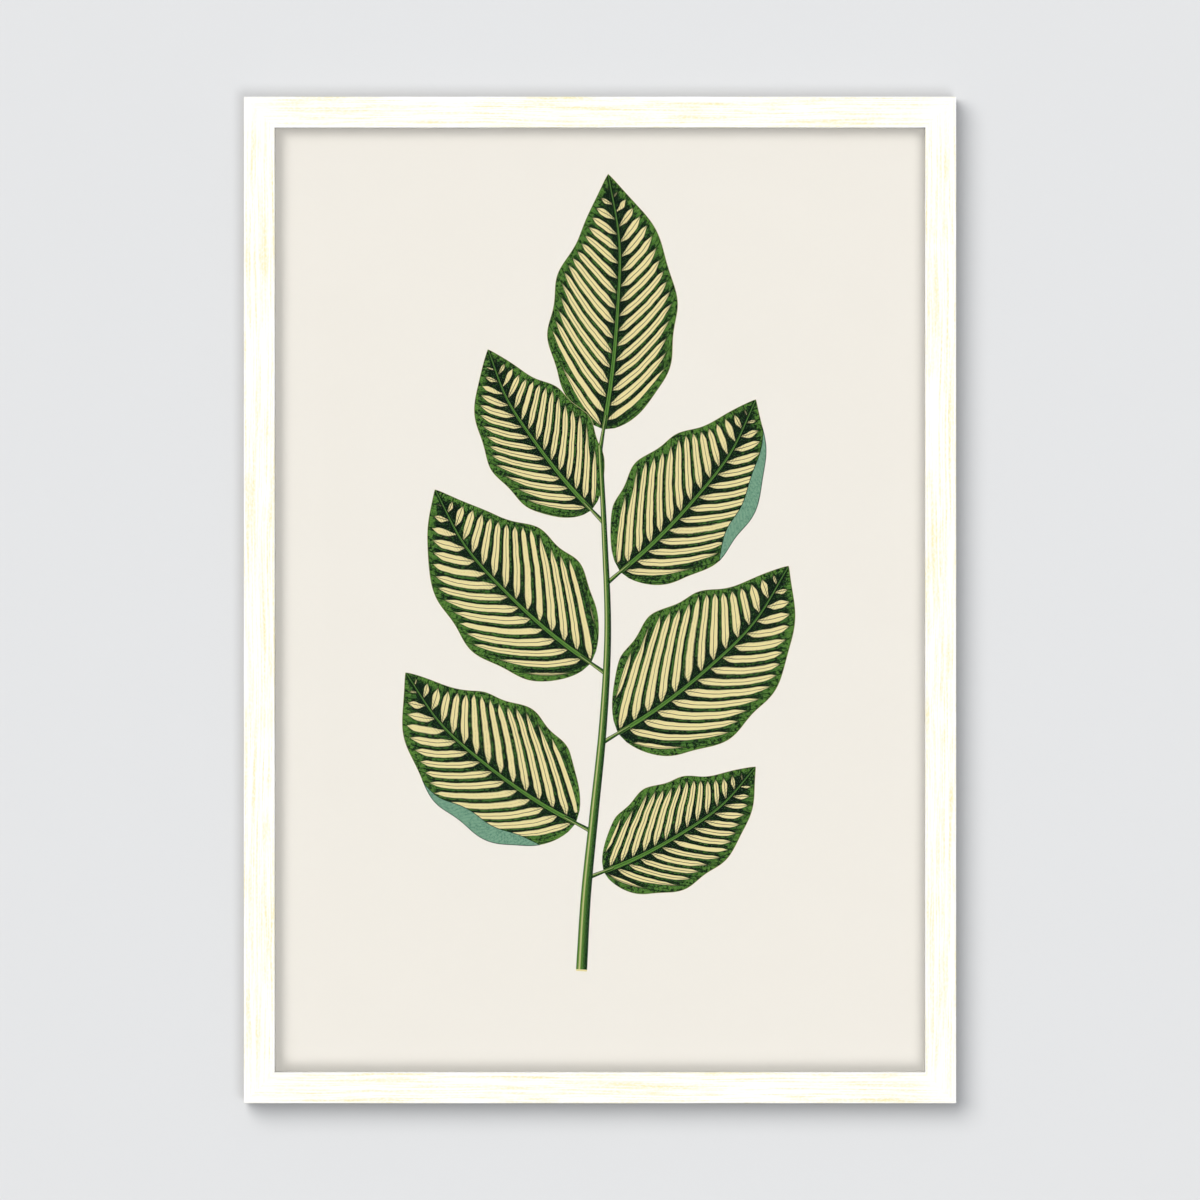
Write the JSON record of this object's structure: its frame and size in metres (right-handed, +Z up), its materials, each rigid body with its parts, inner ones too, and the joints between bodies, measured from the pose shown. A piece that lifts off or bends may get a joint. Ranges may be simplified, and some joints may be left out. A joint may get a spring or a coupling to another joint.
{
  "type": "framed botanical print",
  "caption": "Upright wall picture: a printed sheet under glass in a slim whitewashed wooden frame, with turn buttons and a sawtooth hanger on the back.",
  "frame": {"origin": "where the wall nail carries the frame: the middle notch of the sawtooth hanger, half-way through the strip", "axes": "+Z up; +Y from the picture to the wall, so the picture looks towards -Y; +X to the right as seen from the front"},
  "size_m": [0.46, 0.02, 0.65],
  "materials": {
    "whitewashed_wood": "whitewashed, matt, fine pale yellow grain",
    "clear_glass": "clear, low reflection",
    "art_paper": "smooth matt warm white, printed",
    "corrugated_card": "brown kraft",
    "hardboard": "smooth brown hardboard",
    "zinc_steel": "zinc plated, stamped",
    "bright_steel": "bright zinc plated",
    "clear_rubber": "soft, milky"
  },
  "bodies": {
    "frame": {"rail_top": "whitewashed_wood", "rail_right": "whitewashed_wood", "rail_bottom": "whitewashed_wood", "rail_left": "whitewashed_wood", "glass": "clear_glass", "print": "art_paper", "backing_card": "corrugated_card", "backing_board": "hardboard", "sawtooth_hanger": "zinc_steel", "hanger_nail_1": "bright_steel", "hanger_nail_2": "bright_steel", "bumper_left": "clear_rubber", "bumper_right": "clear_rubber", "corner_wedge_top_right_1": "bright_steel", "corner_wedge_top_right_2": "bright_steel", "corner_wedge_right_bottom_1": "bright_steel", "corner_wedge_right_bottom_2": "bright_steel", "corner_wedge_bottom_left_1": "bright_steel", "corner_wedge_bottom_left_2": "bright_steel", "corner_wedge_left_top_1": "bright_steel", "corner_wedge_left_top_2": "bright_steel", "pivot_screw_top_1": "bright_steel", "pivot_screw_top_2": "bright_steel", "pivot_screw_right_1": "bright_steel", "pivot_screw_right_2": "bright_steel", "pivot_screw_bottom_1": "bright_steel", "pivot_screw_bottom_2": "bright_steel", "pivot_screw_left_1": "bright_steel", "pivot_screw_left_2": "bright_steel"},
    "turn_button_top_1": {"turn_button_top_1": "zinc_steel"},
    "turn_button_top_2": {"turn_button_top_2": "zinc_steel"},
    "turn_button_right_1": {"turn_button_right_1": "zinc_steel"},
    "turn_button_right_2": {"turn_button_right_2": "zinc_steel"},
    "turn_button_bottom_1": {"turn_button_bottom_1": "zinc_steel"},
    "turn_button_bottom_2": {"turn_button_bottom_2": "zinc_steel"},
    "turn_button_left_1": {"turn_button_left_1": "zinc_steel"},
    "turn_button_left_2": {"turn_button_left_2": "zinc_steel"}
  },
  "joints": [
    {"name": "turn_top_1", "type": "hinge", "parent": "frame", "child": "turn_button_top_1", "pos_m": [-0.11, -0.00225, 0.0025], "axis": [0, 1, 0], "range_deg": [-90, 90]},
    {"name": "turn_top_2", "type": "hinge", "parent": "frame", "child": "turn_button_top_2", "pos_m": [0.11, -0.00225, 0.0025], "axis": [0, 1, 0], "range_deg": [-90, 90]},
    {"name": "turn_right_1", "type": "hinge", "parent": "frame", "child": "turn_button_right_1", "pos_m": [0.223, -0.00225, -0.1305], "axis": [0, 1, 0], "range_deg": [-90, 90]},
    {"name": "turn_right_2", "type": "hinge", "parent": "frame", "child": "turn_button_right_2", "pos_m": [0.223, -0.00225, -0.5005], "axis": [0, 1, 0], "range_deg": [-90, 90]},
    {"name": "turn_bottom_1", "type": "hinge", "parent": "frame", "child": "turn_button_bottom_1", "pos_m": [0.11, -0.00225, -0.6335], "axis": [0, 1, 0], "range_deg": [-90, 90]},
    {"name": "turn_bottom_2", "type": "hinge", "parent": "frame", "child": "turn_button_bottom_2", "pos_m": [-0.11, -0.00225, -0.6335], "axis": [0, 1, 0], "range_deg": [-90, 90]},
    {"name": "turn_left_1", "type": "hinge", "parent": "frame", "child": "turn_button_left_1", "pos_m": [-0.223, -0.00225, -0.5005], "axis": [0, 1, 0], "range_deg": [-90, 90]},
    {"name": "turn_left_2", "type": "hinge", "parent": "frame", "child": "turn_button_left_2", "pos_m": [-0.223, -0.00225, -0.1305], "axis": [0, 1, 0], "range_deg": [-90, 90]}
  ]
}
